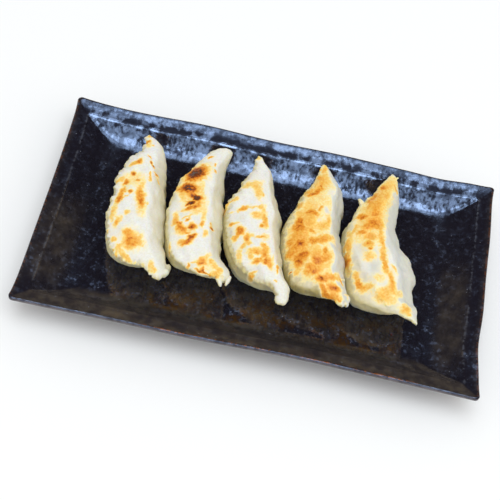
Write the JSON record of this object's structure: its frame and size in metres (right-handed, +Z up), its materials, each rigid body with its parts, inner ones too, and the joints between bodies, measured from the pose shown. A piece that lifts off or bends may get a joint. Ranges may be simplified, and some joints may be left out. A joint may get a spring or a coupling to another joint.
{
  "type": "pan-fried gyoza on a plate",
  "caption": "Pan-fried crescent gyoza dumplings, browned side up, lying side by side on a long dark glazed plate with a wide rim.",
  "frame": {"origin": "middle of the plate's outline, at the bottom of its foot ring, on the table", "axes": "+Z up; +X along the plate's long side, to the diner's right; +Y away from the diner"},
  "size_m": [0.2417, 0.1347, 0.0368],
  "materials": {
    "glaze": "glossy blue-black glaze, mottled with grey-blue and brown",
    "dough": "soft satin wheat dough, pan-browned on top"
  },
  "bodies": {
    "root": {"plate": "glaze", "gyoza_1": "dough", "gyoza_2": "dough", "gyoza_3": "dough", "gyoza_4": "dough", "gyoza_5": "dough"}
  },
  "joints": []
}
